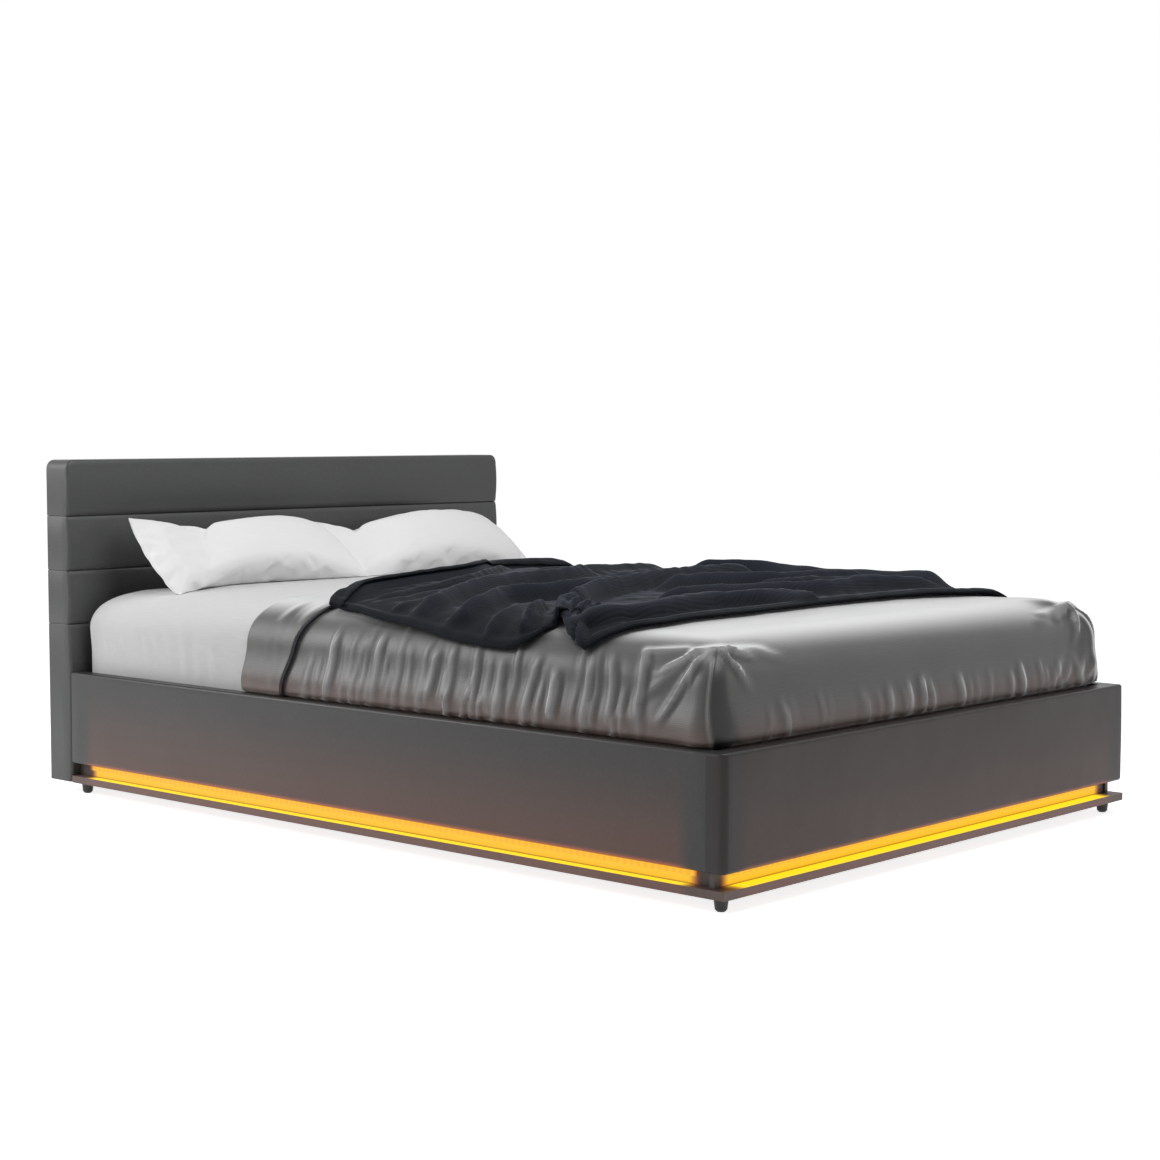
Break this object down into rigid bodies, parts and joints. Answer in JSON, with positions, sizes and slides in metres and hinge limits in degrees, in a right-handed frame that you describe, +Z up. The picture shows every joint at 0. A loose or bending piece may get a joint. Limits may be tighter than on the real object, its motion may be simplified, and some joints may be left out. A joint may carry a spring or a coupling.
{
  "type": "upholstered storage bed",
  "caption": "Low leather storage bed with a padded headboard, a lit plinth, a gas-lift platform that tilts up, and a made-up mattress with pillows and a throw.",
  "frame": {"origin": "centre of the bed's bounding box in plan, on the floor under the feet", "axes": "+Z up, +Y from the foot end towards the headboard (the long way), +X to the right as seen from the foot end"},
  "size_m": [1.46, 2.07, 0.797],
  "materials": {
    "grey_leather": "satin",
    "plinth_leather": "satin",
    "bare_timber": "matte",
    "birch_plywood": "satin",
    "black_board": "matte",
    "black_steel": "satin",
    "chromed_rod": "polished",
    "black_plastic": "satin",
    "light_strip": "satin",
    "mattress_foam": "matte",
    "white_cotton": "matte",
    "grey_sateen": "satin",
    "navy_knit": "matte",
    "black_webbing": "matte"
  },
  "bodies": {
    "base": {"floor_beam": "bare_timber", "foot_batten": "bare_timber", "foot_rail_board": "bare_timber", "foot_rail_cover": "grey_leather", "headboard_back_panel": "black_board", "headboard_band_1": "grey_leather", "headboard_band_2": "grey_leather", "headboard_band_3": "grey_leather", "headboard_band_4": "grey_leather", "headboard_board": "bare_timber", "leg_centre": "black_plastic", "leg_foot_left": "black_plastic", "leg_foot_right": "black_plastic", "leg_head_left": "black_plastic", "leg_head_right": "black_plastic", "lift_base_left": "black_steel", "lift_base_right": "black_steel", "light_driver": "black_plastic", "light_riser_foot": "plinth_leather", "light_riser_left": "plinth_leather", "light_riser_right": "plinth_leather", "light_strip_foot": "light_strip", "light_strip_left": "light_strip", "light_strip_right": "light_strip", "plinth_ledge_foot": "plinth_leather", "plinth_ledge_head": "plinth_leather", "plinth_ledge_left": "plinth_leather", "plinth_ledge_right": "plinth_leather", "side_batten_left": "bare_timber", "side_batten_right": "bare_timber", "side_rail_board_left": "bare_timber", "side_rail_board_right": "bare_timber", "side_rail_cover_left": "grey_leather", "side_rail_cover_right": "grey_leather", "storage_floor_left": "black_board", "storage_floor_right": "black_board"},
    "main_links": {"main_link_left": "black_steel", "main_link_right": "black_steel"},
    "guide_links": {"guide_link_left": "black_steel", "guide_link_right": "black_steel"},
    "platform": {"platform_side_tube_left": "black_steel", "platform_side_tube_right": "black_steel", "platform_end_tube_foot": "black_steel", "platform_end_tube_head": "black_steel", "platform_centre_tube": "black_steel", "deck_board_left": "birch_plywood", "deck_board_right": "birch_plywood", "pull_tab": "black_webbing", "platform_plate_left": "black_steel", "platform_plate_right": "black_steel", "mattress": "mattress_foam", "fitted_sheet": "white_cotton", "coverlet": "grey_sateen", "throw_blanket": "navy_knit", "pillow_left": "white_cotton", "pillow_right": "white_cotton"},
    "gas_cylinders": {"gas_cylinder_left": "black_steel", "gas_cylinder_right": "black_steel"},
    "gas_rods": {"gas_rod_left": "chromed_rod", "gas_rod_right": "chromed_rod"}
  },
  "joints": [
    {"name": "main_link_hinge", "type": "hinge", "parent": "base", "child": "main_links", "pos_m": [0, -0.175, 0.09], "axis": [1, 0, 0], "range_deg": [0, 53.6]},
    {"name": "platform_hinge", "type": "hinge", "parent": "main_links", "child": "platform", "pos_m": [0, 0.22736, 0.2069], "axis": [1, 0, 0], "range_deg": [-88.6, 0]},
    {"name": "guide_link_hinge", "type": "hinge", "parent": "base", "child": "guide_links", "pos_m": [0, -0.281, 0.116], "axis": [1, 0, 0], "range_deg": [0, 51.2]},
    {"name": "gas_cylinder_hinge", "type": "hinge", "parent": "base", "child": "gas_cylinders", "pos_m": [0, -0.013, 0.075], "axis": [1, 0, 0], "range_deg": [0, 58.5]},
    {"name": "gas_rod_slide", "type": "slide", "parent": "gas_cylinders", "child": "gas_rods", "axis": [0, 0.9028, 0.43], "range_m": [0, 0.04981]}
  ],
  "couplings": [
    {"joint": "platform_hinge", "follows": "main_link_hinge", "ratio": -1.653},
    {"joint": "guide_link_hinge", "follows": "main_link_hinge", "ratio": 0.9553},
    {"joint": "gas_cylinder_hinge", "follows": "main_link_hinge", "ratio": 1.0915},
    {"joint": "gas_rod_slide", "follows": "main_link_hinge", "m_per_rad": 0.05324}
  ]
}
